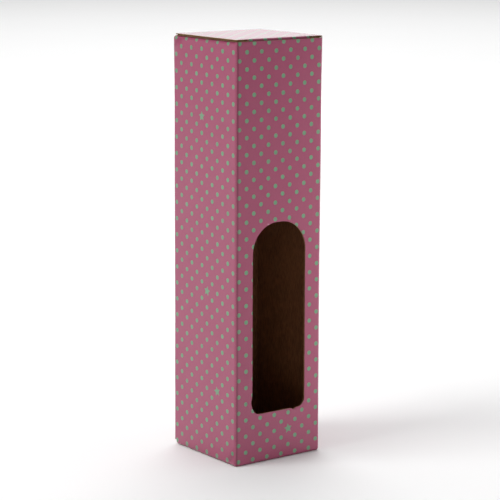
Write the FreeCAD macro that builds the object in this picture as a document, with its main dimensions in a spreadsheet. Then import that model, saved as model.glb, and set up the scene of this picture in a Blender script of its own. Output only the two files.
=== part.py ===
import FreeCAD, Part
import math
import os
import Sketcher

# Window gift box of E-flute corrugated card, millimetres, +Z up.
# The origin is the middle of the underside; the window panel faces -Y.
# Every board is three laminated plies: outer liner, wavy fluting, inner liner.

SIZES = {
    "outer_width": 84.0,       # along X, over the printed faces
    "outer_depth": 84.0,       # along Y
    "panel_height": 334.0,     # floor to the cut top edge of the window panel
    "board": 1.6,              # whole thickness of the laminated board
    "liner": 0.25,             # each flat ply
    "medium": 0.16,            # the wavy ply
    "flute_pitch": 3.2,        # crest to crest
    "crest_flat": 0.7,         # glued width of each crest
    "crease_inside": 0.3,      # radius left inside a fold
    "glue_film": 0.1,
    "window_width": 52.2,
    "window_shift": 0.4,       # towards +X from the panel's middle
    "window_base": 39.6,       # sill above the floor
    "window_height": 152.7,
    "window_corner": 7.5,      # lower corners
    "window_arch": 24.0,       # upper corners
    "lid_gap": 0.3,            # air between the lid and the dust flaps
    "lid_inset": 0.5,          # lid edge inside each side panel's face
    "lid_corner": 1.0,
    "slit_length": 11.0,       # slit-lock cuts at the ends of the tuck crease
    "slit_kerf": 0.6,          # width of those cuts, taken off the tuck flap
    "tuck_length": 20.0,       # from the outer corner of the tuck crease
    "tuck_gap": 0.35,          # air between the tuck flap and the window panel
    "tuck_side": 1.5,          # air at each end of the tuck flap
    "tuck_corner": 6.0,
    "dust_length": 37.0,
    "dust_side": 1.5,          # air behind each dust flap, at its crease
    "dust_front": 6.5,         # room in front of each dust flap for the tuck flap
    "dust_back": 22.0,         # the tip's distance from the back panel's face
    "dust_corner": 5.0,
    "tab_width": 14.0,         # side seam tab
    "tab_end": 1.5,            # air above and below the tab
    "tab_taper": 5.0,
    "glue_inset": 2.0,
    "step_reach": 9.0,         # interlocking step of the two wide base flaps
    "step_run": 6.0,
    "step_gap": 0.5,
    "minor_depth": 30.0,       # narrow base flaps
    "minor_side": 1.5,
    "minor_tip": 28.0,
    "pad_width": 14.0,         # glue pads between narrow and wide base flaps
    "pad_depth": 12.0,
    "pad_offset": 14.0,        # pad middle from the base's centre line
}
TUCK_LEAN = 12.0               # degrees the closed tuck flap leans inwards
FOLD = 90.0                    # degrees of every other crease

X, Y, Z = (1, 0, 0), (0, 1, 0), (0, 0, 1)


def opposite(direction):
    return tuple(-part for part in direction)


def cross(first, second):
    return tuple(FreeCAD.Vector(*first).cross(FreeCAD.Vector(*second)))


class Size:
    """A length together with the sheet formula that keeps it up to date."""

    def __init__(self, value, formula=None):
        self.value = float(value)
        self.formula = formula or repr(float(value))

    def join(self, sign, other, value):
        return Size(value, f"({self.formula} {sign} {other.formula})")

    def __add__(self, other):
        other = as_size(other)
        return self.join("+", other, self.value + other.value)

    def __sub__(self, other):
        other = as_size(other)
        return self.join("-", other, self.value - other.value)

    def __mul__(self, other):
        other = as_size(other)
        return self.join("*", other, self.value * other.value)

    def __truediv__(self, other):
        other = as_size(other)
        return self.join("/", other, self.value / other.value)

    def __neg__(self):
        return Size(0) - self


def as_size(number):
    return number if isinstance(number, Size) else Size(number)


doc = FreeCAD.newDocument("window_gift_box")
sheet = doc.addObject("Spreadsheet::Sheet", "Sizes")
size = {}
for row, (alias, value) in enumerate(SIZES.items(), start=1):
    sheet.set(f"A{row}", alias)
    sheet.set(f"B{row}", str(value))
    sheet.setAlias(f"B{row}", alias)
    size[alias] = Size(value, f"<<Sizes>>.{alias}")
doc.recompute()

board, liner, glue = size["board"], size["liner"], size["glue_film"]
half_x, half_y = size["outer_width"] / 2, size["outer_depth"] / 2
top = size["panel_height"]
radius = board + size["crease_inside"]          # outside radius of every fold
lid_top = top + size["lid_gap"] + board
core = board - liner * 2
minor_face = board + glue                       # underside of the narrow base flaps
tuck_turn = FOLD + TUCK_LEAN
tuck_reach = radius * math.tan(math.radians(tuck_turn / 2))
tuck_face = -half_y + board + size["tuck_gap"]  # y of the tuck crease's outer corner
subparts = []


class Frame:
    """A board's own axes: u across the flutes, v along them, n out of the printed face."""

    def __init__(self, origin, along, outward):
        self.origin = [as_size(part) for part in origin]
        self.v, self.n = along, outward
        self.u = cross(along, outward)

    def place(self, item, depth):
        axes = [FreeCAD.Vector(*axis) for axis in (self.u, self.v, self.n)]
        matrix = FreeCAD.Matrix(
            axes[0].x, axes[1].x, axes[2].x, 0,
            axes[0].y, axes[1].y, axes[2].y, 0,
            axes[0].z, axes[1].z, axes[2].z, 0)
        base = [self.origin[i] - depth * float(self.n[i]) for i in range(3)]
        rotation = FreeCAD.Placement(matrix).Rotation
        item.Placement = FreeCAD.Placement(FreeCAD.Vector(*[part.value for part in base]), rotation)
        for name, part in zip("xyz", base):
            item.setExpression(f"Placement.Base.{name}", part.formula)


def sign(number):
    return (number > 1e-6) - (number < -1e-6)


def area_of(corners):
    total = 0
    for first, second in zip(corners, corners[1:] + corners[:1]):
        total += first[0].value * second[1].value - second[0].value * first[1].value
    return total / 2


def rounded_corner(before, corner, after):
    """Start, end and centre of a right-angled corner's arc."""
    x, y, bend = corner
    into = [bend * sign(before[i].value - corner[i].value) for i in range(2)]
    away = [bend * sign(after[i].value - corner[i].value) for i in range(2)]
    start = (x + into[0], y + into[1])
    end = (x + away[0], y + away[1])
    return start, end, (start[0] + away[0], start[1] + away[1])


def pin(sketch, line, end, point):
    for kind, part in zip(("DistanceX", "DistanceY"), point):
        index = sketch.addConstraint(Sketcher.Constraint(kind, -1, 1, line, end, part.value))
        sketch.setExpression(f"Constraints[{index}]", part.formula)


def draw(sketch, corners):
    """Draws one closed outline; a corner's third entry is its radius."""
    corners = [tuple(as_size(part) for part in corner) for corner in corners]
    if area_of(corners) < 0:
        corners.reverse()
    spots = []
    for i, corner in enumerate(corners):
        before, after = corners[i - 1], corners[(i + 1) % len(corners)]
        if len(corner) == 3:
            spots.append(rounded_corner(before, corner, after))
        else:
            spots.append((corner, corner, None))
    lines = []
    for i, spot in enumerate(spots):
        start, end = spot[1], spots[(i + 1) % len(spots)][0]
        ends = [FreeCAD.Vector(point[0].value, point[1].value, 0) for point in (start, end)]
        lines.append(sketch.addGeometry(Part.LineSegment(*ends), False))
        pin(sketch, lines[-1], 1, start)
    for i, (entry, leave, centre) in enumerate(spots):
        line_in, line_out = lines[i - 1], lines[i]
        if centre is None:
            sketch.addConstraint(Sketcher.Constraint("Coincident", line_in, 2, line_out, 1))
            continue
        pin(sketch, line_in, 2, entry)
        bend = corners[i][2]
        angles = [math.atan2(point[1].value - centre[1].value, point[0].value - centre[0].value)
                  for point in (entry, leave)]
        if angles[1] < angles[0]:
            angles[1] += 2 * math.pi
        middle = FreeCAD.Vector(centre[0].value, centre[1].value, 0)
        circle = Part.Circle(middle, FreeCAD.Vector(*Z), bend.value)
        arc = sketch.addGeometry(Part.ArcOfCircle(circle, *angles), False)
        sketch.addConstraint(Sketcher.Constraint("Coincident", arc, 1, line_in, 2))
        sketch.addConstraint(Sketcher.Constraint("Coincident", arc, 2, line_out, 1))
        index = sketch.addConstraint(Sketcher.Constraint("Radius", arc, bend.value))
        sketch.setExpression(f"Constraints[{index}]", bend.formula)


def sheet_body(label, outlines, thickness):
    """A flat body padded from its outlines; outlines after the first are holes."""
    body = doc.addObject("PartDesign::Body", label)
    sketch = body.newObject("Sketcher::SketchObject", label + "_outline")
    plane = next(item for item in body.Origin.OriginFeatures if item.Role == "XY_Plane")
    sketch.AttachmentSupport = [(plane, "")]
    sketch.MapMode = "FlatFace"
    for outline in outlines:
        draw(sketch, outline)
    pad = body.newObject("PartDesign::Pad", label + "_pad")
    pad.Profile = sketch
    pad.setExpression("Length", thickness.formula)
    return body


def wave_chain(first, count, level, side):
    """One face of the fluting: two crest corners and two trough corners in each wave."""
    pitch, flat = size["flute_pitch"].value, size["crest_flat"].value
    height = core.value - size["medium"].value
    slope = math.atan2(height, pitch / 2 - flat)
    mitre = size["medium"].value / 2 * math.tan(slope / 2) * side
    points = []
    for i in range(count):
        start = first + i * pitch
        points += [(start - flat / 2 - mitre, level + height), (start + flat / 2 + mitre, level + height)]
        middle = start + pitch / 2
        points += [(middle - flat / 2 + mitre, level), (middle + flat / 2 - mitre, level)]
    return points


def wave_block(label, outline):
    """The wavy ply before it is trimmed, running past the outline on all sides."""
    pitch, medium = size["flute_pitch"].value, size["medium"].value
    across = [as_size(corner[0]).value for corner in outline]
    along = [as_size(corner[1]).value for corner in outline]
    first = (math.floor(min(across) / pitch) - 1) * pitch
    count = math.ceil((max(across) - first) / pitch) + 2
    upper = wave_chain(first, count, medium, 1)
    lower = wave_chain(first, count, 0, -1)
    start = min(along) - 1
    loop = [FreeCAD.Vector(u, start, n) for u, n in upper + lower[::-1]]
    face = Part.Face(Part.makePolygon(loop + loop[:1]))
    wave = doc.addObject("Part::Feature", label + "_wave")
    wave.Shape = face.extrude(FreeCAD.Vector(0, max(along) + 1 - start, 0))
    return wave


def keep(item, label):
    item.Label = label
    subparts.append(item)


def make_board(name, frame, outlines):
    """The three plies of one board, outermost first."""
    outer = sheet_body(name + "_outer_liner", outlines, liner)
    frame.place(outer, liner)
    keep(outer, name + "_outer_liner")
    gap = sheet_body(name + "_core_space", outlines, core)
    flutes = doc.addObject("Part::Common", name + "_fluting")
    flutes.Base = wave_block(name, outlines[0])
    flutes.Tool = gap
    frame.place(flutes, liner + core)
    keep(flutes, name + "_fluting")
    inner = sheet_body(name + "_inner_liner", outlines, liner)
    frame.place(inner, board)
    keep(inner, name + "_inner_liner")


def make_crease(name, centre, start, finish, length, turn=FOLD):
    """A fold: the board pressed round an arc that runs from start towards finish."""
    frame = Frame(centre, finish, cross(start, finish))
    rings = []
    for word, bend in (("outside", radius), ("inside", size["crease_inside"])):
        ring = doc.addObject("Part::Cylinder", f"{name}_{word}")
        ring.setExpression("Radius", bend.formula)
        ring.setExpression("Height", length.formula)
        ring.Angle = turn
        rings.append(ring)
    fold = doc.addObject("Part::Cut", name)
    fold.Base, fold.Tool = rings
    frame.place(fold, Size(0))
    keep(fold, name)


def make_film(name, frame, outlines):
    """Dried glue between two boards; each outline is one separate pad."""
    pads = []
    for i, outline in enumerate(outlines):
        pads.append(sheet_body(f"{name}_{i + 1}", [outline], glue))
    film = pads[0]
    if len(pads) > 1:
        film = doc.addObject("Part::Compound", name)
        film.Links = pads
    frame.place(film, Size(0))
    keep(film, name)


def box_outline(left, right, low, high):
    return [(left, low), (right, low), (right, high), (left, high)]


# Tube: window panel, two sides and the back.
window_left = size["window_shift"] - size["window_width"] / 2
window_right = size["window_shift"] + size["window_width"] / 2
sill = size["window_base"]
crown = sill + size["window_height"]
window = [
    (window_left, sill, size["window_corner"]), (window_right, sill, size["window_corner"]),
    (window_right, crown, size["window_arch"]), (window_left, crown, size["window_arch"])]
front_outline = box_outline(-half_x + radius, half_x - radius, radius, top)
make_board("front_panel", Frame((0, -half_y, 0), Z, opposite(Y)), [front_outline, window])

side_low, side_high = minor_face + radius, top - radius
left_outline = box_outline(-half_y, half_y - radius, side_low, side_high)
make_board("left_panel", Frame((-half_x, 0, 0), Z, opposite(X)), [left_outline])
right_outline = box_outline(-half_y + radius, half_y - radius, side_low, side_high)
make_board("right_panel", Frame((half_x, 0, 0), Z, X), [right_outline])

tab_face = -half_x + board + glue               # x of the side seam tab's outer face
back_outline = box_outline(-half_x + radius, -tab_face - radius, radius, lid_top - radius)
make_board("back_panel", Frame((0, half_y, 0), Z, Y), [back_outline])

tab_low = minor_face + board + size["tab_end"]
tab_high = top - board - size["tab_end"]
tab_start, tab_stop = -half_y + radius, -half_y + radius + size["tab_width"]
tab_outline = [
    (tab_start, tab_low), (tab_stop, tab_low + size["tab_taper"]),
    (tab_stop, tab_high - size["tab_taper"]), (tab_start, tab_high)]
tab_frame = Frame((tab_face, 0, 0), Z, opposite(X))
make_board("glue_tab", tab_frame, [tab_outline])
seam_outline = box_outline(
    tab_start + size["glue_inset"], tab_stop - size["glue_inset"],
    tab_low + size["tab_taper"], tab_high - size["tab_taper"])
make_film("seam_glue", tab_frame, [seam_outline])

corner_height = top - radius
make_crease("front_left_crease", (-half_x + radius, -half_y + radius, radius),
            opposite(X), opposite(Y), corner_height)
make_crease("front_right_crease", (half_x - radius, -half_y + radius, radius),
            opposite(Y), X, corner_height)
make_crease("back_right_crease", (half_x - radius, half_y - radius, radius),
            X, Y, corner_height)
make_crease("glue_tab_crease", (tab_face + radius, half_y - radius, radius),
            Y, opposite(X), lid_top - radius * 2)

# Base: two wide flaps that interlock, and two narrow flaps glued on top of them.
wide = half_x - radius
low_step = half_y - size["step_reach"] - size["step_gap"] / 2
high_step = half_y + size["step_reach"] - size["step_gap"] / 2
wide_outline = [
    (-wide, radius), (wide, radius), (wide, low_step), (size["step_run"], low_step),
    (-size["step_run"], high_step), (-wide, high_step)]
make_board("front_base_flap", Frame((0, -half_y, 0), Y, opposite(Z)), [wide_outline])
make_board("back_base_flap", Frame((0, half_y, 0), opposite(Y), opposite(Z)), [wide_outline])

narrow = half_y - board - size["minor_side"]
tip = size["minor_tip"] / 2
narrow_outline = [
    (-narrow, radius), (narrow, radius), (tip, size["minor_depth"]), (-tip, size["minor_depth"])]
make_board("left_base_flap", Frame((-half_x, 0, minor_face), X, opposite(Z)), [narrow_outline])
make_board("right_base_flap", Frame((half_x, 0, minor_face), opposite(X), opposite(Z)), [narrow_outline])

pad_near = half_x - radius - size["glue_inset"]
pad_far = pad_near - size["pad_depth"]
pad_low, pad_high = size["pad_offset"] - size["pad_width"] / 2, size["pad_offset"] + size["pad_width"] / 2
base_pads = [box_outline(-pad_near, -pad_far, -pad_high, -pad_low),
             box_outline(pad_far, pad_near, pad_low, pad_high)]
make_film("base_glue_pads", Frame((0, 0, board), Y, Z), base_pads)

long_x, long_y = (half_x - radius) * 2, (half_y - radius) * 2
make_crease("front_base_crease", (-half_x + radius, -half_y + radius, radius),
            opposite(Y), opposite(Z), long_x)
make_crease("back_base_crease", (-half_x + radius, half_y - radius, radius),
            opposite(Z), Y, long_x)
make_crease("left_base_crease", (-half_x + radius, -half_y + radius, side_low),
            opposite(Z), opposite(X), long_y)
make_crease("right_base_crease", (half_x - radius, -half_y + radius, side_low),
            X, opposite(Z), long_y)

# Dust flaps, folded in from the tops of the sides.
dust_back = -(half_y - board - size["dust_side"])
dust_front = half_y - board - size["dust_front"]
dust_tip_back = -(half_y - size["dust_back"])
dust_outline = [
    (dust_back, radius), (dust_front, radius),
    (dust_front, size["dust_length"], size["dust_corner"]), (dust_tip_back, size["dust_length"])]
mirrored = [(-corner[0],) + corner[1:] for corner in dust_outline]
make_board("left_dust_flap", Frame((-half_x, 0, top), X, Z), [dust_outline])
make_board("right_dust_flap", Frame((half_x, 0, top), opposite(X), Z), [mirrored])
make_crease("left_dust_crease", (-half_x + radius, -half_y + radius, top - radius),
            opposite(X), Z, long_y)
make_crease("right_dust_crease", (half_x - radius, -half_y + radius, top - radius),
            Z, X, long_y)

# Lid from the back panel, and the tuck flap at its front with slit-lock cuts.
lid_half = half_x - size["lid_inset"]
slit = lid_half - size["slit_length"]
lid_front = size["outer_depth"]
crease_line = half_y - tuck_face - tuck_reach
lid_outline = [
    (-lid_half, radius), (lid_half, radius),
    (lid_half, lid_front, size["lid_corner"]), (slit, lid_front), (slit, crease_line),
    (-slit, crease_line), (-slit, lid_front), (-lid_half, lid_front, size["lid_corner"])]
make_board("lid", Frame((0, half_y, lid_top), opposite(Y), Z), [lid_outline])
make_crease("lid_crease", (tab_face + radius, half_y - radius, lid_top - radius),
            Y, Z, half_x - radius * 2 - tab_face)

lean = math.radians(TUCK_LEAN)
tuck_half = half_x - board - size["tuck_side"]
shoulder = tuck_reach + size["slit_kerf"]
tuck_outline = [
    (-tuck_half, shoulder), (-slit, shoulder), (-slit, tuck_reach),
    (slit, tuck_reach), (slit, shoulder), (tuck_half, shoulder),
    (tuck_half, size["tuck_length"], size["tuck_corner"]),
    (-tuck_half, size["tuck_length"], size["tuck_corner"])]
tuck_down = (0, math.sin(lean), -math.cos(lean))
tuck_out = (0, -math.cos(lean), -math.sin(lean))
make_board("tuck_flap", Frame((0, tuck_face, lid_top), tuck_down, tuck_out), [tuck_outline])
make_crease("tuck_crease", (-slit, tuck_face + tuck_reach, lid_top - radius),
            Z, opposite(Y), slit * 2, tuck_turn)

doc.recompute()
for item in doc.Objects:
    if "Invalid" in item.State or "Error" in item.State:
        raise RuntimeError(f"{item.Label} failed: {item.State}")
for item in subparts:
    if item.Shape.isNull() or not item.Shape.isValid() or not item.Shape.Solids:
        raise RuntimeError(f"{item.Label} has no valid solid")

os.makedirs("parts", exist_ok=True)
for item in subparts:
    item.Shape.exportStep(f"parts/{item.Label}.step")
print(len(subparts), "sub-parts,", "height", round(lid_top.value, 3))
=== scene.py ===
import math

import bmesh
import bpy
from mathutils import Matrix, Vector, noise


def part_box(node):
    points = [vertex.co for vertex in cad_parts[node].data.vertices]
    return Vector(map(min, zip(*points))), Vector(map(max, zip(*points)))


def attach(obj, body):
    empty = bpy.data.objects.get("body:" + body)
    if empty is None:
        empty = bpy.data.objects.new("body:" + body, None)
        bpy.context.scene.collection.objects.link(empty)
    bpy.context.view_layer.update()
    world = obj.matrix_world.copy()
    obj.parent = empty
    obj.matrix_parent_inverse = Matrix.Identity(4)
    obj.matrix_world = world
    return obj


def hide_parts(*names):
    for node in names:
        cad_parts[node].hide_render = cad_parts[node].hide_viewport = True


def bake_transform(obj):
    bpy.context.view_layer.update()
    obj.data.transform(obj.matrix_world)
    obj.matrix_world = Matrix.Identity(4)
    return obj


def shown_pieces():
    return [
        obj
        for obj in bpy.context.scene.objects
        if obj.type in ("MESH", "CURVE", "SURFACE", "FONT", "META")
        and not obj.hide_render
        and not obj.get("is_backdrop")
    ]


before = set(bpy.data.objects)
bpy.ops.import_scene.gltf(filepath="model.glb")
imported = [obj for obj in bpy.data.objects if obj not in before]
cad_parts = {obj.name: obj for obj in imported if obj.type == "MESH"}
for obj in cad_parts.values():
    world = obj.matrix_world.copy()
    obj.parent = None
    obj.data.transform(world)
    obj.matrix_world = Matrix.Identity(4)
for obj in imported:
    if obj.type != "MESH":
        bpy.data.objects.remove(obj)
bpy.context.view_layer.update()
mm = 0.001
noise.seed_set(7)  # so that the board wanders the same way on every run
print("frame loaded,", len(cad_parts), "CAD nodes")


# camera, at the angle that the box is seen from
cameraPlan = {"lens": 141.78, "sensor": 36, "near": 0.02, "far": 100,
              "place": (-0.9204, -1.2493, 0.4546), "yaw": -36.456, "pitch": -10.63, "roll": 0.234}


def addCamera(plan):
    yaw, pitch, roll = (math.radians(plan[k]) for k in ("yaw", "pitch", "roll"))
    ahead = Vector((-math.sin(yaw) * math.cos(pitch), math.cos(yaw) * math.cos(pitch), math.sin(pitch)))
    level = Vector((math.cos(yaw), math.sin(yaw), 0))
    above = level.cross(ahead)
    right = math.cos(roll) * level + math.sin(roll) * above
    up = -math.sin(roll) * level + math.cos(roll) * above
    data = bpy.data.cameras.new("camera")
    data.lens = plan["lens"]
    data.sensor_width = plan["sensor"]
    data.clip_start, data.clip_end = plan["near"], plan["far"]
    camera = bpy.data.objects.new("camera", data)
    bpy.context.scene.collection.objects.link(camera)
    turn = Matrix((right, up, -ahead)).transposed().to_4x4()
    camera.matrix_world = Matrix.Translation(plan["place"]) @ turn
    bpy.context.scene.camera = camera


addCamera(cameraPlan)


# small helpers for node trees
def addNode(tree, kind, inputs=None, **settings):
    node = tree.nodes.new(kind)
    for key, value in settings.items():
        setattr(node, key, value)
    for key, value in (inputs or {}).items():
        if isinstance(value, bpy.types.NodeSocket):
            tree.links.new(value, node.inputs[key])
        else:
            node.inputs[key].default_value = value
    return node


def calc(tree, operation, *values):
    return addNode(tree, "ShaderNodeMath", dict(enumerate(values)), operation=operation).outputs[0]


def fade(tree, value, low, high, toLow=0.0, toHigh=1.0):
    inputs = {"Value": value, "From Min": low, "From Max": high, "To Min": toLow, "To Max": toHigh}
    return addNode(tree, "ShaderNodeMapRange", inputs, interpolation_type="SMOOTHSTEP").outputs[0]


def reachOf(tree, x, y):
    squares = calc(tree, "MULTIPLY", x, x), calc(tree, "MULTIPLY", y, y)
    return calc(tree, "SQRT", calc(tree, "ADD", *squares))


def mixColour(tree, factor, first, second):
    return addNode(tree, "ShaderNodeMix", {0: factor, 6: first, 7: second}, data_type="RGBA").outputs[2]


def cells(tree, place, scale):
    inputs = {"Vector": place, "Scale": scale, "Randomness": 1.0}
    return addNode(tree, "ShaderNodeTexVoronoi", inputs).outputs["Distance"]


def grain(tree, place, scale, detail=3.0, rough=0.55, stretch=None):
    if stretch:
        place = addNode(tree, "ShaderNodeMapping", {"Vector": place, "Scale": stretch}).outputs[0]
    inputs = {"Vector": place, "Scale": scale, "Detail": detail, "Roughness": rough}
    return addNode(tree, "ShaderNodeTexNoise", inputs).outputs["Fac"]


def newMaterial(name):
    material = bpy.data.materials.new(name)
    material.use_nodes = True
    tree = material.node_tree
    tree.nodes.clear()
    surface = addNode(tree, "ShaderNodeBsdfPrincipled")
    out = addNode(tree, "ShaderNodeOutputMaterial")
    tree.links.new(surface.outputs[0], out.inputs[0])
    return material, tree, surface


def rgb(red, green, blue):
    return (red, green, blue, 1.0)


def addBump(tree, surface, height, plan):
    inputs = {"Strength": plan["bumpStrength"], "Distance": plan["bump"], "Height": height}
    bump = addNode(tree, "ShaderNodeBump", inputs)
    tree.links.new(bump.outputs[0], surface.inputs["Normal"])


def setGloss(surface, **sockets):
    for name, value in sockets.items():
        surface.inputs[glossSockets[name]].default_value = value


glossSockets = {"specular": "Specular IOR Level", "coat": "Coat Weight", "coatRough": "Coat Roughness"}

# the box's own measures, in millimetres
boxPlan = {
    "half": 42.0, "tubeTop": 334.0, "foldOuter": 1.9, "foldInner": 0.3,
    "tabFace": 40.3, "tabFoldAt": 38.4, "narrowRise": 1.7,  # glue tab, and underside of the narrow base flaps
    "tuckAt": 37.7, "tuckLean": 12,
    # where the tab and the lid lie on the blank
    "tabPlace": 292.0, "tabFold": (248.4, 251.9), "lidRun": 2.0, "lidShift": -2.5, "lidRow": 1.0,
}
half, tubeTop, foldOuter = (boxPlan[key] for key in ("half", "tubeTop", "foldOuter"))
face = 2 * half


# the dot-and-star wrap, drawn in millimetres of the flat blank
printPlan = {
    "column": 7.0, "row": 13.163, "firstColumn": 3.04, "firstRow": 3.72,
    "dotRadius": 1.76, "softEdge": 0.09, "creep": 0.22,
    "starTip": 4.0, "starWaist": 2.0, "starTurn": 0.22, "starRoom": 4.6,
    "stars": [(7, 1), (-7, 20), (-6, 10), (-4, 4), (15, 6), (19, 17), (22, 9), (14, 22),
              (27, 3), (31, 13), (26, 20), (34, 7), (27, 28), (33, 30)],
    "ground": rgb(0.385, 0.062, 0.145), "mark": rgb(0.145, 0.362, 0.202),
    "dense": rgb(0.34, 0.052, 0.12), "denseMost": 0.10,
    "thin": rgb(0.50, 0.20, 0.22), "toothMost": 0.05, "fibreMost": 0.04,
    "rubbed": rgb(0.66, 0.36, 0.30), "rubMost": 0.22, "rubReach": (1.5, 0.4),
    # painted shade of the pressed score beside each fold
    "pressed": rgb(0.12, 0.014, 0.035), "scoreShadeMost": 0.45, "scoreShadeStart": (0.1, 1.0), "scoreShadeEnd": (3.2, 1.6),
    "bare": rgb(0.58, 0.34, 0.26), "bareMost": 0.30, "bareSize": (0.045, 0.03), "bareScale": 0.19,
    "rough": (0.5, 0.68), "specular": 0.1, "coat": 1.0, "coatRough": 0.24,
    "flutePitch": 3.2, "washboard": 0.22, "swell": 3.0, "bumpStrength": 0.35, "bump": 0.00004,
}


def drawDots(tree, plan, across, along, edge):
    fromFirst = calc(tree, "SUBTRACT", across, plan["firstColumn"])
    column = calc(tree, "ROUND", calc(tree, "DIVIDE", fromFirst, plan["column"]))
    pairs = calc(tree, "MULTIPLY", column, 0.5)
    odd = calc(tree, "SUBTRACT", pairs, calc(tree, "FLOOR", pairs))  # 0 or 0.5
    rowPlace = calc(tree, "DIVIDE", calc(tree, "SUBTRACT", along, plan["firstRow"]), plan["row"])
    row = calc(tree, "ROUND", calc(tree, "SUBTRACT", rowPlace, odd))
    sideways = calc(tree, "SUBTRACT", fromFirst, calc(tree, "MULTIPLY", column, plan["column"]))
    rowGap = calc(tree, "SUBTRACT", rowPlace, calc(tree, "ADD", row, odd))
    upward = calc(tree, "MULTIPLY", rowGap, plan["row"])
    reach = calc(tree, "ADD", reachOf(tree, sideways, upward), edge)
    return fade(tree, reach, plan["dotRadius"] + plan["softEdge"], plan["dotRadius"] - plan["softEdge"])


def drawStars(tree, plan, across, along, edge):
    offX = offY = nearStar = turn = 0.0
    for number, (j, i) in enumerate(plan["stars"]):
        starX = calc(tree, "SUBTRACT", across, plan["firstColumn"] + plan["column"] * j)
        starY = calc(tree, "SUBTRACT", along, plan["firstRow"] + plan["row"] * (i + 0.5 * (j % 2)))
        widest = calc(tree, "MAXIMUM", calc(tree, "ABSOLUTE", starX), calc(tree, "ABSOLUTE", starY))
        here = calc(tree, "LESS_THAN", widest, plan["starRoom"])
        offX = calc(tree, "MULTIPLY_ADD", starX, here, offX)
        offY = calc(tree, "MULTIPLY_ADD", starY, here, offY)
        nearStar = calc(tree, "ADD", nearStar, here)
        turn = calc(tree, "MULTIPLY_ADD", here, plan["starTurn"] * math.sin(number * 2.4 + 0.6), turn)
    fifth = math.tau / 5
    angle = calc(tree, "ADD", calc(tree, "ADD", calc(tree, "ARCTAN2", offX, offY), turn), fifth / 2)
    wedge = calc(tree, "SUBTRACT", calc(tree, "FLOORED_MODULO", angle, fifth), fifth / 2)
    tip, waist = plan["starTip"], plan["starWaist"]
    waistX, waistY = waist * math.cos(fifth / 2), waist * math.sin(fifth / 2)
    long = math.hypot(waistY, tip - waistX)
    away = reachOf(tree, offX, offY)
    armX = calc(tree, "MULTIPLY", calc(tree, "COSINE", wedge), away)
    armY = calc(tree, "MULTIPLY", calc(tree, "ABSOLUTE", calc(tree, "SINE", wedge)), away)
    gap = calc(tree, "MULTIPLY_ADD", armX, waistY / long, -waistY * tip / long)
    gap = calc(tree, "ADD", calc(tree, "MULTIPLY_ADD", armY, (tip - waistX) / long, gap), edge)
    return fade(tree, gap, plan["softEdge"], -plan["softEdge"]), nearStar


def makePrint(plan):
    material, tree, surface = newMaterial("printedCard")
    flat = addNode(tree, "ShaderNodeUVMap", uv_map="blank").outputs[0]
    parts = addNode(tree, "ShaderNodeSeparateXYZ", {0: flat})
    across, along = parts.outputs[0], parts.outputs[1]
    wobble = grain(tree, flat, 2.2, 2.0)  # ink creeps a little into the paper
    edge = calc(tree, "MULTIPLY_ADD", wobble, plan["creep"], -plan["creep"] / 2)
    dot = drawDots(tree, plan, across, along, edge)
    star, nearStar = drawStars(tree, plan, across, along, edge)
    drawn = addNode(tree, "ShaderNodeMix", {0: nearStar, 2: dot, 3: star}, data_type="FLOAT").outputs[0]
    # ink on brown board: slow drift in density, fine tooth, rubbed folds
    slow = grain(tree, flat, 0.035, 2.0)
    tooth = grain(tree, flat, 1.7, 4.0, 0.7)
    fibre = grain(tree, flat, 1.1, 3.0, 0.6, stretch=(1.0, 0.16, 1.0))
    colour = mixColour(tree, drawn, plan["ground"], plan["mark"])
    colour = mixColour(tree, fade(tree, slow, 0.3, 0.7, 0.0, plan["denseMost"]), colour, plan["dense"])
    toothShade = fade(tree, tooth, 0.25, 0.75, 0.0, plan["toothMost"])
    fibreShade = fade(tree, fibre, 0.3, 0.7, 0.0, plan["fibreMost"])
    colour = mixColour(tree, calc(tree, "ADD", toothShade, fibreShade), colour, plan["thin"])
    fromFold = calc(tree, "PINGPONG", across, half)
    onFold = calc(tree, "MULTIPLY", fade(tree, fromFold, *plan["rubReach"]), fade(tree, tooth, 0.48, 0.66))
    colour = mixColour(tree, calc(tree, "MULTIPLY", onFold, plan["rubMost"]), colour, plan["rubbed"])
    # painted shade: a dark band along the score pressed just past each fold of the tube
    beside = calc(tree, "FLOORED_MODULO", across, face)
    scoreShadeStart, scoreShadeEnd = fade(tree, beside, *plan["scoreShadeStart"]), fade(tree, beside, *plan["scoreShadeEnd"])
    scoreShadeMask = calc(tree, "MULTIPLY", scoreShadeStart, scoreShadeEnd)
    pastSeam, belowTop = calc(tree, "GREATER_THAN", across, -half), calc(tree, "LESS_THAN", along, tubeTop)
    scoreShadeMask = calc(tree, "MULTIPLY", scoreShadeMask, calc(tree, "MULTIPLY", pastSeam, belowTop))
    colour = mixColour(tree, calc(tree, "MULTIPLY", scoreShadeMask, plan["scoreShadeMost"]), colour, plan["pressed"])
    bare = fade(tree, cells(tree, flat, plan["bareScale"]), *plan["bareSize"])
    colour = mixColour(tree, calc(tree, "MULTIPLY", bare, plan["bareMost"]), colour, plan["bare"])
    tree.links.new(colour, surface.inputs["Base Color"])
    tree.links.new(fade(tree, tooth, 0.2, 0.8, *plan["rough"]), surface.inputs["Roughness"])
    setGloss(surface, specular=plan["specular"], coat=plan["coat"], coatRough=plan["coatRough"])
    washboard = calc(tree, "SINE", calc(tree, "MULTIPLY", across, math.tau / plan["flutePitch"]))
    drift = calc(tree, "ADD", tooth, calc(tree, "MULTIPLY", slow, plan["swell"]))
    addBump(tree, surface, calc(tree, "MULTIPLY_ADD", washboard, plan["washboard"], drift), plan)
    return material


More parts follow.
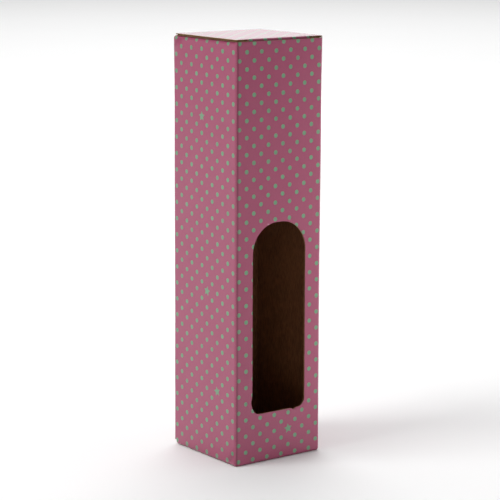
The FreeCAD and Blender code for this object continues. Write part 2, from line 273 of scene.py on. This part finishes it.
# bare papers: the brown liner, its cut edge, and the darker fluted sheet
kraftPlans = {
    "kraftLiner": {"light": rgb(0.28, 0.114, 0.044), "dark": rgb(0.145, 0.053, 0.018), "rough": (0.78, 0.92),
                   "stretch": (1.0, 1.0, 0.14), "bump": 0.00005, "bumpStrength": 0.5},
    "kraftCut": {"light": rgb(0.50, 0.30, 0.17), "dark": rgb(0.29, 0.155, 0.08), "rough": (0.86, 0.96),
                 "stretch": (1.0, 1.0, 1.0), "bump": 0.00008, "bumpStrength": 0.5},
    "kraftFlute": {"light": rgb(0.40, 0.225, 0.115), "dark": rgb(0.22, 0.115, 0.052), "rough": (0.84, 0.95),
                   "stretch": (1.0, 1.0, 0.2), "bump": 0.00005, "bumpStrength": 0.5},
}


kraftGrain = {"cloud": 38.0, "cloudShare": 0.25, "fibre": 1500.0, "cross": 900.0, "fleckScale": 420.0,
              "fleck": rgb(0.13, 0.07, 0.035), "fleckMost": 0.55, "specular": 0.3}


def makeKraft(name, plan):
    material, tree, surface = newMaterial(name)
    size = kraftGrain
    place = addNode(tree, "ShaderNodeTexCoord").outputs["Object"]
    cloud = grain(tree, place, size["cloud"], 4.0)
    fibre = grain(tree, place, size["fibre"], 4.0, 0.62, stretch=plan["stretch"])
    cross = grain(tree, place, size["cross"], 2.0, 0.5, stretch=(1.0, 0.3, 1.0))
    cloudTone = calc(tree, "MULTIPLY", cloud, size["cloudShare"])
    tone = calc(tree, "ADD", cloudTone, calc(tree, "MULTIPLY", fibre, 1 - size["cloudShare"]))
    colour = mixColour(tree, fade(tree, tone, 0.36, 0.64), plan["dark"], plan["light"])
    flecks = fade(tree, cells(tree, place, size["fleckScale"]), 0.12, 0.05)
    bark = calc(tree, "MULTIPLY", flecks, fade(tree, cross, 0.5, 0.62))
    colour = mixColour(tree, calc(tree, "MULTIPLY", bark, size["fleckMost"]), colour, size["fleck"])
    tree.links.new(colour, surface.inputs["Base Color"])
    tree.links.new(fade(tree, fibre, 0.3, 0.7, *plan["rough"]), surface.inputs["Roughness"])
    setGloss(surface, specular=size["specular"])
    addBump(tree, surface, calc(tree, "ADD", fibre, calc(tree, "MULTIPLY", cross, 0.5)), plan)
    return material


gluePlan = {"thin": rgb(0.66, 0.50, 0.27), "thick": rgb(0.80, 0.70, 0.45), "coat": 0.6, "coatRough": 0.18,
            "rough": (0.32, 0.55), "driftScale": 120.0, "bubbleScale": 700.0,
            "bumpStrength": 0.4, "bump": 0.00006}


def makeGlue(plan):
    material, tree, surface = newMaterial("driedGlue")
    place = addNode(tree, "ShaderNodeTexCoord").outputs["Object"]
    drift = grain(tree, place, plan["driftScale"], 3.0)
    colour = mixColour(tree, fade(tree, drift, 0.35, 0.65), plan["thin"], plan["thick"])
    tree.links.new(colour, surface.inputs["Base Color"])
    tree.links.new(fade(tree, drift, 0.3, 0.7, *plan["rough"]), surface.inputs["Roughness"])
    setGloss(surface, coat=plan["coat"], coatRough=plan["coatRough"])
    addBump(tree, surface, cells(tree, place, plan["bubbleScale"]), plan)
    return material


printedCard = makePrint(printPlan)
kraft = {name: makeKraft(name, plan) for name, plan in kraftPlans.items()}
driedGlue = makeGlue(gluePlan)
print("materials made")


# how the glued box has settled: a slight waist, and board that is never quite flat
settlePlan = {"waist": 0.25, "wander": 0.22, "wanderSize": 65.0, "wanderUp": 0.3, "fadeOver": 24.0}
windowPlan = {"behind": -40, "pucker": 1.1, "puckerPlace": (-25.6, 50.0), "puckerReach": (5.0, 5.5),
              "nick": 1.5, "nickPlace": (15.5, 39.6), "nickReach": (2.2, 2.0)}


def smooth(value):
    value = min(max(value, 0.0), 1.0)
    return value * value * (3 - 2 * value)


def dent(x, z, place, reach):
    near = abs(x - place[0]) / reach[0], abs(z - place[1]) / reach[1]
    return smooth(1 - near[0]) * smooth(1 - near[1])


def settle(p):
    x, y, z = p.x / mm, p.y / mm, p.z / mm
    plan, win = settlePlan, windowPlan
    ends = smooth(z / plan["fadeOver"]) * smooth((tubeTop - z) / plan["fadeOver"])
    narrow = 1 - plan["waist"] / half * math.sin(math.pi * min(max(z / tubeTop, 0), 1))
    drift = noise.noise_vector(Vector((x, y, z)) / plan["wanderSize"]) * plan["wander"] * ends
    if y < win["behind"]:  # the die left a pucker and a nick at the window
        x -= win["pucker"] * dent(x, z, win["puckerPlace"], win["puckerReach"])
        z -= win["nick"] * dent(x, z, win["nickPlace"], win["nickReach"])
    return Vector((x * narrow + drift.x, y * narrow + drift.y, z + drift.z * plan["wanderUp"])) * mm


# where each board lies: its body, outer face, flute direction, and place on the flat blank
lean = math.radians(boxPlan["tuckLean"])
sideX, sideY, upZ = Vector((1, 0, 0)), Vector((0, 1, 0)), Vector((0, 0, 1))
tuckDown = Vector((0, math.sin(lean), -math.cos(lean)))
tuckOut = Vector((0, -math.cos(lean), -math.sin(lean)))
foldAt, lidTop, rise = half - foldOuter, tubeTop + foldOuter, boxPlan["narrowRise"]
lidShift, lidRow, tuckAt = boxPlan["lidShift"], boxPlan["lidRow"], boxPlan["tuckAt"]
tabFace, tabPlace = boxPlan["tabFace"], boxPlan["tabPlace"]
backPlace, rightPlace = 5 * half, 3 * half  # where the middles of these faces lie on the blank
lidPlace = tubeTop + half + boxPlan["lidRun"]
tuckSweep = boxPlan["tuckLean"] + 90
tuckStart = lidPlace + tuckAt + foldOuter * math.radians(tuckSweep) + lidRow
tuckTop = Vector((0, -tuckAt, tubeTop)) + foldOuter * tuckOut


def onTuck(x, y, z):
    return backPlace - x + lidShift, tuckStart + (Vector((x, y, z)) - tuckTop).dot(tuckDown)


boards = {
    "front_panel": ("box", (0, -half, 0), -sideY, sideX, upZ, lambda x, y, z: (x + half, z)),
    "left_panel": ("box", (-half, 0, 0), -sideX, sideY, upZ, lambda x, y, z: (-half - y, z)),
    "right_panel": ("box", (half, 0, 0), sideX, sideY, upZ, lambda x, y, z: (rightPlace + y, z)),
    "back_panel": ("box", (0, half, 0), sideY, sideX, upZ, lambda x, y, z: (backPlace - x, z)),
    "glue_tab": ("box", (-tabFace, 0, 0), -sideX, sideY, upZ, lambda x, y, z: (tabPlace - y, z)),
    "front_base_flap": ("box", (0, 0, 0), -upZ, sideX, sideY, lambda x, y, z: (x + half, -half - y)),
    "back_base_flap": ("box", (0, 0, 0), -upZ, sideX, sideY, lambda x, y, z: (backPlace - x, y - half)),
    "left_base_flap": ("box", (0, 0, rise), -upZ, sideY, sideX, lambda x, y, z: (-half - y, -half - x)),
    "right_base_flap": ("box", (0, 0, rise), -upZ, sideY, sideX, lambda x, y, z: (rightPlace + y, x - half)),
    "left_dust_flap": ("left_dust_flap", (0, 0, tubeTop), upZ, sideY, sideX,
                       lambda x, y, z: (-half - y, tubeTop + half + x)),
    "right_dust_flap": ("right_dust_flap", (0, 0, tubeTop), upZ, sideY, sideX,
                        lambda x, y, z: (rightPlace + y, tubeTop + half - x)),
    "lid": ("lid", (0, 0, lidTop), upZ, sideX, sideY,
            lambda x, y, z: (backPlace - x + lidShift, lidPlace - y + lidRow)),
    "tuck_flap": ("tuck_flap", tuckTop, tuckOut, sideX, tuckDown, onTuck),
}
boardPlan = {"liner": 0.25, "core": 1.1, "grid": 7.0, "facing": 0.9, "sameSpot": 1e-6,
             "windowCuts": (44, 46, 48, 50, 52, 54, 56, 13.9, 14.7, 15.5, 16.3, 17.1)}


def cadCopy(node):
    shape = bmesh.new()
    shape.from_mesh(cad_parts[node].data)
    bmesh.ops.remove_doubles(shape, verts=shape.verts, dist=boardPlan["sameSpot"])
    return shape


def cutGrid(shape, directions, spacing, extra=()):
    for direction in directions:
        reach = [v.co.dot(direction) for v in shape.verts]
        low, high = min(reach), max(reach)
        count = max(1, round((high - low) / (spacing * mm)))
        places = [low + (high - low) * k / count for k in range(1, count)]
        places += [e * mm for e in extra if low < e * mm < high]
        for place in sorted(places):
            everything = shape.verts[:] + shape.edges[:] + shape.faces[:]
            at = {"plane_co": direction * place, "plane_no": direction}
            bmesh.ops.bisect_plane(shape, geom=everything, dist=boardPlan["sameSpot"] / 10, **at)


def settleAll(verts):
    for vert in verts:
        vert.co = settle(vert.co)


def meshFrom(shape, name, *materials):
    mesh = bpy.data.meshes.new(name)
    shape.to_mesh(mesh)
    shape.free()
    for material in materials:
        mesh.materials.append(material)
    return mesh


def finishPiece(name, mesh, body, nodes, sharpAngle=38):
    mesh.shade_smooth()
    mesh.set_sharp_from_angle(angle=math.radians(sharpAngle))
    piece = bpy.data.objects.new(name, mesh)
    bpy.context.scene.collection.objects.link(piece)
    if body:
        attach(piece, body)
    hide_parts(*nodes)
    return piece


def layBlank(shape, toBlank):
    layer = shape.loops.layers.uv.new("blank")
    for panel in shape.faces:
        for loop in panel.loops:
            loop[layer].uv = toBlank(*(loop.vert.co / mm))


def makeLiner(board, inner):
    body, origin, out, across, along, toBlank = boards[board]
    node = board + ("_inner_liner" if inner else "_outer_liner")
    shape = cadCopy(node)
    extra = boardPlan["windowCuts"] if board == "front_panel" else ()
    cutGrid(shape, (across, along), boardPlan["grid"], extra)
    layBlank(shape, toBlank)
    shape.normal_update()
    for panel in shape.faces:
        way = panel.normal.dot(out)
        panel.material_index = 0 if abs(way) > boardPlan["facing"] else 1
        if not inner and way < -boardPlan["facing"]:
            panel.material_index = 2
    if body == "box":
        settleAll(shape.verts)
    bare = inner or board == "glue_tab"
    facing = kraft["kraftLiner"] if bare else printedCard
    mesh = meshFrom(shape, board, facing, kraft["kraftCut"], kraft["kraftLiner"])
    ending = "_lining" if inner else "_facing" if bare else "_print"
    finishPiece(board + ending, mesh, body, [node])


for board in boards:
    makeLiner(board, False)
    makeLiner(board, True)
print("liners made")


# the fluted sheet inside each board, waved by nodes and trimmed to the board's outline
flutePlan = {"pitch": 3.2, "height": 1.08, "paper": 0.17, "rowLength": 14.0, "stepsPerFlute": 10,
             "spare": 4, "squareness": 0.28, "sharp": 50}


def groupInput(tree, name, kind):
    return tree.interface.new_socket(name=name, in_out="INPUT", socket_type=kind).identifier


def makeFluteTree():
    tree = bpy.data.node_groups.new("flutedSheet", "GeometryNodeTree")
    ids = {"Outline": groupInput(tree, "Outline", "NodeSocketGeometry")}
    for name in ("Width", "Length", "Pitch", "Height", "Paper", "Steps", "Rows"):
        kind = "NodeSocketInt" if name in ("Steps", "Rows") else "NodeSocketFloat"
        ids[name] = groupInput(tree, name, kind)
    ids["Place"] = groupInput(tree, "Place", "NodeSocketVector")
    ids["Turn"] = groupInput(tree, "Turn", "NodeSocketVector")
    ids["Paper Finish"] = groupInput(tree, "Paper Finish", "NodeSocketMaterial")
    tree.interface.new_socket(name="Sheet", in_out="OUTPUT", socket_type="NodeSocketGeometry")
    given = addNode(tree, "NodeGroupInput").outputs
    gridInputs = {"Size X": given["Width"], "Size Y": given["Length"],
                  "Vertices X": given["Steps"], "Vertices Y": given["Rows"]}
    grid = addNode(tree, "GeometryNodeMeshGrid", gridInputs)
    place = addNode(tree, "GeometryNodeInputPosition").outputs[0]
    across = addNode(tree, "ShaderNodeSeparateXYZ", {0: place}).outputs[0]
    turns = calc(tree, "MULTIPLY", calc(tree, "DIVIDE", across, given["Pitch"]), math.tau)
    wave = calc(tree, "SINE", turns)
    square = flutePlan["squareness"]
    fuller = calc(tree, "MULTIPLY_ADD", calc(tree, "MULTIPLY", wave, wave), -square, 1 + square)
    rounded = calc(tree, "MULTIPLY", wave, fuller)
    swing = calc(tree, "MULTIPLY", calc(tree, "SUBTRACT", given["Height"], given["Paper"]), 0.5)
    halfPaper = calc(tree, "MULTIPLY", given["Paper"], 0.5)
    lift = calc(tree, "SUBTRACT", calc(tree, "MULTIPLY", rounded, swing), halfPaper)
    offset = addNode(tree, "ShaderNodeCombineXYZ", {2: lift}).outputs[0]
    wavedInputs = {"Geometry": grid.outputs["Mesh"], "Offset": offset}
    waved = addNode(tree, "GeometryNodeSetPosition", wavedInputs).outputs[0]
    upward = addNode(tree, "ShaderNodeCombineXYZ", {2: given["Paper"]}).outputs[0]
    raisedInputs = {"Mesh": waved, "Offset": upward, "Offset Scale": 1.0, "Individual": False}
    raised = addNode(tree, "GeometryNodeExtrudeMesh", raisedInputs)
    under = addNode(tree, "GeometryNodeFlipFaces", {"Mesh": waved}).outputs[0]
    both = addNode(tree, "GeometryNodeJoinGeometry")
    tree.links.new(raised.outputs["Mesh"], both.inputs[0])
    tree.links.new(under, both.inputs[0])
    closedInputs = {"Geometry": both.outputs[0], "Distance": boardPlan["sameSpot"]}
    closed = addNode(tree, "GeometryNodeMergeByDistance", closedInputs).outputs[0]
    movedInputs = {"Geometry": closed, "Translation": given["Place"], "Rotation": given["Turn"]}
    moved = addNode(tree, "GeometryNodeTransform", movedInputs).outputs[0]
    trimmed = addNode(tree, "GeometryNodeMeshBoolean", operation="INTERSECT", solver="EXACT")
    tree.links.new(moved, trimmed.inputs[1])
    tree.links.new(given["Outline"], trimmed.inputs[1])
    real = addNode(tree, "GeometryNodeRealizeInstances", {0: trimmed.outputs[0]}).outputs[0]
    paintedInputs = {"Geometry": real, "Material": given["Paper Finish"]}
    painted = addNode(tree, "GeometryNodeSetMaterial", paintedInputs).outputs[0]
    out = addNode(tree, "NodeGroupOutput")
    tree.links.new(painted, out.inputs[0])
    return tree, ids


fluteTree, fluteIds = makeFluteTree()


def makeFluting(board):
    body, origin, out, across, along, toBlank = boards[board]
    origin = Vector(origin)
    liner, core = boardPlan["liner"], boardPlan["core"]
    shape = cadCopy(board + "_outer_liner")
    for vert in shape.verts:  # the liner's own outline, drawn out to the depth of the core
        depth = (vert.co / mm - origin).dot(out)
        deeper = -liner if depth > -liner / 2 else -liner - core
        vert.co += out * (deeper - depth) * mm
    mesh = meshFrom(shape, "outline")
    holder = bpy.data.objects.new("outline", mesh)
    bpy.context.scene.collection.objects.link(holder)
    span = {}
    for key, direction in (("across", across), ("along", along)):
        reach = [v.co.dot(direction) for v in mesh.vertices]
        span[key] = (min(reach), max(reach))
    middle = {key: sum(ends) / 2 for key, ends in span.items()}
    pitch = flutePlan["pitch"]
    width = math.ceil((span["across"][1] - span["across"][0]) / mm / pitch + 1) * pitch
    length = (span["along"][1] - span["along"][0]) / mm + flutePlan["spare"]
    frameZ = across.cross(along)
    turn = Matrix((across, along, frameZ)).transposed().to_euler()
    depth = origin.dot(out) - liner - core / 2
    place = across * middle["across"] + along * middle["along"] + out * depth * mm
    modifier = holder.modifiers.new("fluting", "NODES")
    modifier.node_group = fluteTree
    values = {"Width": width * mm, "Length": length * mm, "Pitch": pitch * mm,
              "Height": flutePlan["height"] * mm, "Paper": flutePlan["paper"] * mm,
              "Steps": int(width / pitch * flutePlan["stepsPerFlute"]) + 1,
              "Rows": max(2, int(length / flutePlan["rowLength"]) + 1)}
    for key, value in values.items():
        modifier[fluteIds[key]] = value
    modifier[fluteIds["Place"]] = list(place)
    modifier[fluteIds["Turn"]] = list(turn)
    modifier[fluteIds["Paper Finish"]] = kraft["kraftFlute"]
    bpy.context.view_layer.update()
    made = bpy.data.meshes.new_from_object(holder.evaluated_get(bpy.context.evaluated_depsgraph_get()))
    bpy.data.objects.remove(holder)
    if body == "box":
        settleAll(made.vertices)
    finishPiece(board + "_flutes", made, body, [board + "_fluting"], flutePlan["sharp"])
    return len(made.polygons)


print("fluting made,", sum(makeFluting(board) for board in boards), "faces")


# folds: a quarter ring of crushed board, printed outside and brown inside
foldPlan = {"steps": 10, "grid": 6.0, "crush": 0.07, "crushSize": (5, 0.6), "flatten": 0.05, "sharp": 60,
            "tail": 1.5, "tailSteps": (1.0, 0.6, 0.25), "thinning": 0.35, "dustReach": 1.8,
            "droop": 1.35, "droopShape": 0.6}
topFold, narrowFold = tubeTop - foldOuter, rise + foldOuter
tabFoldAt, tabFold = boxPlan["tabFoldAt"], boxPlan["tabFold"]
baseArc, narrowArc, dustArc = (foldOuter, -foldOuter), (narrowFold, -foldOuter), (topFold, lidTop)
lidArc, tuckArc = (tubeTop, lidPlace - foldAt + lidRow), (lidPlace + tuckAt + lidRow, tuckStart)
leftArc, rightArc, backArc = ((at - foldOuter, at + foldOuter) for at in (0, face, 2 * face))
folds = {  # middle, first side, second side, ring axis from low to high, blank places at the two sides
    "front_left_crease": ((-foldAt, -foldAt, None), -sideX, -sideY, upZ, leftArc, "U"),
    "front_right_crease": ((foldAt, -foldAt, None), -sideY, sideX, upZ, rightArc, "U"),
    "back_right_crease": ((foldAt, foldAt, None), sideX, sideY, upZ, backArc, "U"),
    "glue_tab_crease": ((-tabFoldAt, foldAt, None), sideY, -sideX, upZ, tabFold, "U"),
    "front_base_crease": ((None, -foldAt, foldOuter), -sideY, -upZ, sideX, baseArc, "front_panel"),
    "back_base_crease": ((None, foldAt, foldOuter), sideY, -upZ, sideX, baseArc, "back_panel"),
    "left_base_crease": ((-foldAt, None, narrowFold), -sideX, -upZ, sideY, narrowArc, "left_panel"),
    "right_base_crease": ((foldAt, None, narrowFold), sideX, -upZ, sideY, narrowArc, "right_panel"),
    "left_dust_crease": ((-foldAt, None, topFold), -sideX, upZ, sideY, dustArc, "left_panel"),
    "right_dust_crease": ((foldAt, None, topFold), sideX, upZ, sideY, dustArc, "right_panel"),
    "lid_crease": ((None, foldAt, tubeTop), sideY, upZ, sideX, lidArc, "back_panel"),
    "tuck_crease": ((None, -tuckAt, tubeTop), upZ, -sideY, sideX, tuckArc, "lid"),
}
foldBlends = {
    "lid_crease": ("box", "lid", (0, half, tubeTop), (0, foldAt, lidTop)),
    "tuck_crease": ("lid", "tuck_flap", (0, -tuckAt, lidTop), tuple(tuckTop)),
    "left_dust_crease": ("box", "left_dust_flap", (-half, 0, topFold), (-foldAt, 0, tubeTop)),
    "right_dust_crease": ("box", "right_dust_flap", (half, 0, topFold), (foldAt, 0, tubeTop)),
}


def makeFold(name):
    middle, first, second, axis, blank, kind = folds[name]
    plan, steps = foldPlan, foldPlan["steps"]
    low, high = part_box(name)
    middle = Vector([m if m is not None else 0 for m in middle])
    start, stop = low.dot(axis) / mm, high.dot(axis) / mm
    if name.endswith("dust_crease"):
        stop += plan["dustReach"]  # as far as the corner at the back
    tail = plan["tail"] if axis is upZ else 0
    sweep = math.radians(tuckSweep if name == "tuck_crease" else 90)
    count = max(2, round((stop - start) / plan["grid"]))
    places = [start + (stop - start) * k / count for k in range(count + 1)]
    if tail:  # the upright folds run on, thinning, into the corner of the base
        places = [start - tail * share for share in plan["tailSteps"]] + places
    shape = bmesh.new()
    layer = shape.loops.layers.uv.new("blank")

    def ringPoint(s, k):
        angle, bulge = sweep * k / steps, math.sin(math.pi * k / steps)
        way = math.cos(angle) * first + math.sin(angle) * second
        sizeAlong, sizeRound = plan["crushSize"]
        crushed = plan["crush"] * noise.noise(Vector((s / sizeAlong, k * sizeRound, start))) * bulge
        shrink = 1 - plan["thinning"] * smooth((start - s) / tail) if tail and s < start else 1.0
        outer = middle + axis * s + way * (foldOuter * shrink + crushed - plan["flatten"] * bulge)
        if name in ("left_base_crease", "right_base_crease"):  # swells over the raw ends of the wide flaps
            outer.z -= plan["droop"] * bulge ** plan["droopShape"]
        return outer, middle + axis * s + way * boxPlan["foldInner"]

    def makeRing(s):
        return [[shape.verts.new(point * mm) for point in ringPoint(s, k)] for k in range(steps + 1)]

    rings = [makeRing(s) for s in places]

    def addFace(corners, material, blankPlaces=None):
        panel = shape.faces.new(corners)
        panel.material_index = material
        for loop, uv in zip(panel.loops, blankPlaces or [(0, 0)] * len(corners)):
            loop[layer].uv = uv

    def blankAt(s, k):
        value = blank[0] + (blank[1] - blank[0]) * k / steps
        return (value, s) if kind == "U" else (boards[kind][5](*(middle + axis * s))[0], value)

    for a, (ring, after) in enumerate(zip(rings, rings[1:])):
        s, t = places[a], places[a + 1]
        for k in range(steps):
            corners = [ring[k][0], after[k][0], after[k + 1][0], ring[k + 1][0]]
            addFace(corners, 0, [blankAt(s, k), blankAt(t, k), blankAt(t, k + 1), blankAt(s, k + 1)])
            addFace([ring[k][1], ring[k + 1][1], after[k + 1][1], after[k][1]], 1)
        addFace([ring[0][0], ring[0][1], after[0][1], after[0][0]], 1)
        addFace([ring[-1][0], after[-1][0], after[-1][1], ring[-1][1]], 1)
    firstRing, lastRing = rings[0], rings[-1]
    for k in range(steps):
        addFace([firstRing[k][0], firstRing[k + 1][0], firstRing[k + 1][1], firstRing[k][1]], 2)
        addFace([lastRing[k][0], lastRing[k][1], lastRing[k + 1][1], lastRing[k + 1][0]], 2)
    bmesh.ops.recalc_face_normals(shape, faces=shape.faces)
    bodies = foldBlends.get(name)
    if not bodies or bodies[0] == "box":
        settleAll(shape.verts)
    mesh = meshFrom(shape, name, printedCard, kraft["kraftLiner"], kraft["kraftCut"])
    foldName, body = name.replace("_crease", "_fold"), None if bodies else "box"
    piece = finishPiece(foldName, mesh, body, [name], plan["sharp"])
    if bodies:
        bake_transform(piece)


for name in folds:
    makeFold(name)
print("folds made")


# dried glue, in thin films that follow the board as it has settled
def makeGlueFilm(node):
    shape = cadCopy(node)
    cutGrid(shape, (sideX, sideY, upZ), boardPlan["grid"])
    settleAll(shape.verts)
    finishPiece(node + "_film", meshFrom(shape, node, driedGlue), "box", [node])


for name in ("seam_glue", "base_glue_pads"):
    makeGlueFilm(name)
print("glue laid")


# floor, light and air
stagePlan = {
    "floorSize": 40.0, "floor": rgb(0.92, 0.92, 0.92), "floorDrift": 0.985,
    "floorRough": 0.9, "floorGloss": 0.15,
    "key": {"place": (-2.6, 0.6, 3.2), "size": 1.8, "power": 80.0},
    "overhead": {"place": (0.3, 0.4, 3.5), "size": 3.0, "power": 46.0, "aim": (0.3, 0.4, 0),
                 "falls": "floor"},
    "glare": {"place": (1.9, 2.56, 1.05), "size": 2.2, "sizeY": 1.1, "power": 9.0},
    "backdrop": {"place": (2.6, 3.4, 3.6), "size": 5.0, "power": 150.0, "aim": (2.6, 3.4, 0)},
    "sideCard": {"place": (0.17, -0.10, 0.17), "size": 0.10, "sizeY": 0.33, "power": 0.22,
                 "aim": (0.03, -0.03, 0.17), "falls": "box"},
    "aim": (0, 0, 0.2), "horizon": 0.38, "zenith": 0.2, "skyReach": 0.6,
}


def addFloor(plan):
    size = plan["floorSize"] / 2
    mesh = bpy.data.meshes.new("floor")
    corners = [(-size, -size, 0), (size, -size, 0), (size, size, 0), (-size, size, 0)]
    mesh.from_pydata(corners, [], [(0, 1, 2, 3)])
    floor = bpy.data.objects.new("floor", mesh)
    bpy.context.scene.collection.objects.link(floor)
    material, tree, surface = newMaterial("paleFloor")
    place = addNode(tree, "ShaderNodeTexCoord").outputs["Object"]
    drift = grain(tree, place, 3.0, 3.0)
    worn = rgb(*(channel * plan["floorDrift"] for channel in plan["floor"][:3]))
    tree.links.new(mixColour(tree, drift, plan["floor"], worn), surface.inputs["Base Color"])
    surface.inputs["Roughness"].default_value = plan["floorRough"]
    setGloss(surface, specular=plan["floorGloss"])
    mesh.materials.append(material)
    floor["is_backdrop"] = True


def addLight(name, plan):
    data = bpy.data.lights.new(name, "AREA")
    data.shape = "RECTANGLE"
    data.size = plan["size"]
    data.size_y = plan.get("sizeY", plan["size"])
    data.energy = plan["power"]
    light = bpy.data.objects.new(name, data)
    bpy.context.scene.collection.objects.link(light)
    light.location = plan["place"]
    toBox = Vector(plan.get("aim", stagePlan["aim"])) - light.location
    light.rotation_euler = toBox.to_track_quat("-Z", "Y").to_euler()
    light.visible_camera = False
    if plan.get("falls"):  # the side card is kept off the floor, and the floor's own light off the box
        lit = bpy.data.collections.new(name + "Falls")
        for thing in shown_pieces() if plan["falls"] == "box" else [bpy.data.objects["floor"]]:
            lit.objects.link(thing)
        light.light_linking.receiver_collection = lit


def addWorld(plan):
    world = bpy.data.worlds.new("air")
    bpy.context.scene.world = world
    world.use_nodes = True
    tree = world.node_tree
    tree.nodes.clear()
    way = addNode(tree, "ShaderNodeTexCoord").outputs["Generated"]
    height = addNode(tree, "ShaderNodeSeparateXYZ", {0: way}).outputs[2]
    strength = fade(tree, height, 0.0, plan["skyReach"], plan["horizon"], plan["zenith"])
    sky = addNode(tree, "ShaderNodeBackground", {"Color": rgb(1, 1, 1), "Strength": strength})
    out = addNode(tree, "ShaderNodeOutputWorld")
    tree.links.new(sky.outputs[0], out.inputs[0])


addFloor(stagePlan)
for name in ("key", "overhead", "glare", "backdrop", "sideCard"):
    addLight(name, stagePlan[name])
addWorld(stagePlan)
bpy.context.scene.view_settings.view_transform = "Standard"
print("stage set")
